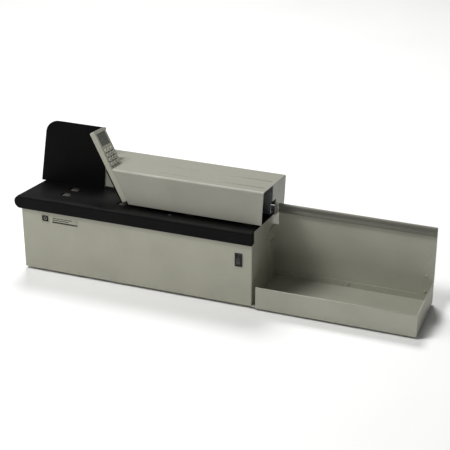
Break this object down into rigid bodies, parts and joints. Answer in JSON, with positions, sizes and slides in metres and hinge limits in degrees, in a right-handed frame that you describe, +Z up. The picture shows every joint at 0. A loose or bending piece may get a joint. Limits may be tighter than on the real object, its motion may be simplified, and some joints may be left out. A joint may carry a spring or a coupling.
{
  "type": "franking machine",
  "caption": "Table-top franking machine: long cabinet with a tilted letter deck, hopper plate, hinged transport cover with a leaning keypad panel, and a catch tray at the outlet.",
  "frame": {"origin": "on the table, under the middle of the whole machine's footprint", "axes": "+X from the letter hopper towards the catch tray, +Y from the operator to the rear, +Z up"},
  "size_m": [0.8382, 0.196, 0.3051],
  "materials": {
    "cabinet_paint": "satin warm-grey enamel, fine texture",
    "cover_paint": "satin light-grey enamel",
    "tray_paint": "satin grey enamel",
    "strip_paint": "satin dark-grey enamel",
    "zinc_sheet": "zinc-plated sheet",
    "screw_steel": "plated",
    "foot_rubber": "matt black",
    "badge_metal": "brushed, blank",
    "switch_plastic": "moulded black",
    "rocker_plastic": "gloss black",
    "contact_metal": "bright",
    "rail_black": "moulded black, semi-matt",
    "deck_black": "black enamel, worn along the path",
    "plate_black": "matt black enamel",
    "board_green": "solder-resist green",
    "meter_shell": "moulded dark grey",
    "bush_bronze": "sintered bronze",
    "shaft_steel": "ground",
    "wheel_rubber": "ground rubber",
    "belt_rubber": "moulded",
    "motor_case": "black",
    "idler_plastic": "natural nylon",
    "head_plastic": "moulded dark grey",
    "cartridge_plastic": "moulded blue-grey",
    "hinge_steel": "plated",
    "panel_plastic": "moulded, fine texture",
    "lens_tint": "smoked",
    "key_plastic": "moulded light grey"
  },
  "bodies": {
    "machine": {"base_cabinet": "cabinet_paint", "base_plate": "zinc_sheet", "rear_panel": "cabinet_paint", "cabinet_screws": "screw_steel", "rubber_feet": "foot_rubber", "badge_plate": "badge_metal", "switch_housing": "switch_plastic", "inlet_housing": "switch_plastic", "inlet_pins": "contact_metal", "front_rail": "rail_black", "power_supply": "zinc_sheet", "control_board": "board_green", "meter_module": "meter_shell", "deck_plate": "deck_black", "deck_end_cap": "rail_black", "hopper_back_plate": "plate_black", "mech_frame_front": "zinc_sheet", "mech_frame_rear": "zinc_sheet", "shaft_bushes": "bush_bronze", "drive_belts": "belt_rubber", "drive_motor": "motor_case", "bridge_frame": "zinc_sheet", "print_head": "head_plastic", "ink_cartridge": "cartridge_plastic", "hinge_brackets": "hinge_steel", "tray_pan": "tray_paint", "tray_back_wall": "tray_paint", "tray_top_strip": "strip_paint", "tray_rivets": "screw_steel"},
    "cover": {"transport_cover": "cover_paint", "cover_end_guard": "cover_paint", "cover_hinge_leaves": "hinge_steel", "separator_plate": "plate_black", "control_housing": "panel_plastic", "display_window": "lens_tint", "keypad_plate": "board_green"},
    "rocker": {"switch_rocker": "rocker_plastic"},
    "nudger": {"nudger_shaft": "shaft_steel", "nudger_wheels": "wheel_rubber"},
    "feed": {"feed_shaft": "shaft_steel", "feed_wheels": "wheel_rubber"},
    "platen": {"platen_shaft": "shaft_steel", "platen_wheels": "wheel_rubber"},
    "exit": {"exit_shaft": "shaft_steel", "exit_wheels": "wheel_rubber"},
    "motor_rotor": {"motor_shaft_pulley": "shaft_steel"},
    "idler_a": {"transport_idler": "idler_plastic"},
    "idler_b": {"exit_idler": "idler_plastic"},
    "key_01": {"key_01": "key_plastic"},
    "key_02": {"key_02": "key_plastic"},
    "key_03": {"key_03": "key_plastic"},
    "key_04": {"key_04": "key_plastic"},
    "key_05": {"key_05": "key_plastic"},
    "key_06": {"key_06": "key_plastic"},
    "key_07": {"key_07": "key_plastic"},
    "key_08": {"key_08": "key_plastic"},
    "key_09": {"key_09": "key_plastic"},
    "key_10": {"key_10": "key_plastic"},
    "key_11": {"key_11": "key_plastic"},
    "key_12": {"key_12": "key_plastic"}
  },
  "joints": [
    {"name": "cover_hinge", "type": "hinge", "parent": "machine", "child": "cover", "pos_m": [-0.106, 0.0861, 0.14485], "axis": [-1, 0, 0], "range_deg": [0, 80]},
    {"name": "rocker_pivot", "type": "hinge", "parent": "machine", "child": "rocker", "pos_m": [0.0615, -0.091, 0.1045], "axis": [1, 0, 0], "range_deg": [0, 20]},
    {"name": "feed_spin", "type": "hinge", "parent": "machine", "child": "feed", "pos_m": [-0.201, -0.01249, 0.14244], "axis": [0, 0.9877, -0.1564], "continuous": true},
    {"name": "nudger_spin", "type": "hinge", "parent": "machine", "child": "nudger", "pos_m": [-0.326, -0.01249, 0.14244], "axis": [0, 0.9877, -0.1564], "continuous": true},
    {"name": "platen_spin", "type": "hinge", "parent": "machine", "child": "platen", "pos_m": [-0.056, -0.01249, 0.14244], "axis": [0, 0.9877, -0.1564], "continuous": true},
    {"name": "exit_spin", "type": "hinge", "parent": "machine", "child": "exit", "pos_m": [0.064, -0.01249, 0.14244], "axis": [0, 0.9877, -0.1564], "continuous": true},
    {"name": "motor_spin", "type": "hinge", "parent": "machine", "child": "motor_rotor", "pos_m": [-0.088, 0.02183, 0.10339], "axis": [0, 0.9877, -0.1564], "continuous": true},
    {"name": "transport_idler_spin", "type": "hinge", "parent": "machine", "child": "idler_a", "pos_m": [-0.131, -0.009, 0.16447], "axis": [0, 0.9877, -0.1564], "continuous": true},
    {"name": "exit_idler_spin", "type": "hinge", "parent": "machine", "child": "idler_b", "pos_m": [0.064, -0.009, 0.16447], "axis": [0, 0.9877, -0.1564], "continuous": true},
    {"name": "key_01_press", "type": "slide", "parent": "cover", "child": "key_01", "axis": [-0.866, -0.0782, -0.4938], "range_m": [0, 0.0015], "stiffness_N_per_m": 300},
    {"name": "key_02_press", "type": "slide", "parent": "cover", "child": "key_02", "axis": [-0.866, -0.0782, -0.4938], "range_m": [0, 0.0015], "stiffness_N_per_m": 300},
    {"name": "key_03_press", "type": "slide", "parent": "cover", "child": "key_03", "axis": [-0.866, -0.0782, -0.4938], "range_m": [0, 0.0015], "stiffness_N_per_m": 300},
    {"name": "key_04_press", "type": "slide", "parent": "cover", "child": "key_04", "axis": [-0.866, -0.0782, -0.4938], "range_m": [0, 0.0015], "stiffness_N_per_m": 300},
    {"name": "key_05_press", "type": "slide", "parent": "cover", "child": "key_05", "axis": [-0.866, -0.0782, -0.4938], "range_m": [0, 0.0015], "stiffness_N_per_m": 300},
    {"name": "key_06_press", "type": "slide", "parent": "cover", "child": "key_06", "axis": [-0.866, -0.0782, -0.4938], "range_m": [0, 0.0015], "stiffness_N_per_m": 300},
    {"name": "key_07_press", "type": "slide", "parent": "cover", "child": "key_07", "axis": [-0.866, -0.0782, -0.4938], "range_m": [0, 0.0015], "stiffness_N_per_m": 300},
    {"name": "key_08_press", "type": "slide", "parent": "cover", "child": "key_08", "axis": [-0.866, -0.0782, -0.4938], "range_m": [0, 0.0015], "stiffness_N_per_m": 300},
    {"name": "key_09_press", "type": "slide", "parent": "cover", "child": "key_09", "axis": [-0.866, -0.0782, -0.4938], "range_m": [0, 0.0015], "stiffness_N_per_m": 300},
    {"name": "key_10_press", "type": "slide", "parent": "cover", "child": "key_10", "axis": [-0.866, -0.0782, -0.4938], "range_m": [0, 0.0015], "stiffness_N_per_m": 300},
    {"name": "key_11_press", "type": "slide", "parent": "cover", "child": "key_11", "axis": [-0.866, -0.0782, -0.4938], "range_m": [0, 0.0015], "stiffness_N_per_m": 300},
    {"name": "key_12_press", "type": "slide", "parent": "cover", "child": "key_12", "axis": [-0.866, -0.0782, -0.4938], "range_m": [0, 0.0015], "stiffness_N_per_m": 300}
  ],
  "couplings": [
    {"joint": "nudger_spin", "follows": "feed_spin", "ratio": 1},
    {"joint": "platen_spin", "follows": "feed_spin", "ratio": 1},
    {"joint": "exit_spin", "follows": "feed_spin", "ratio": 1},
    {"joint": "motor_spin", "follows": "feed_spin", "ratio": 1},
    {"joint": "transport_idler_spin", "follows": "feed_spin", "ratio": -1.75},
    {"joint": "exit_idler_spin", "follows": "feed_spin", "ratio": -1.75}
  ]
}
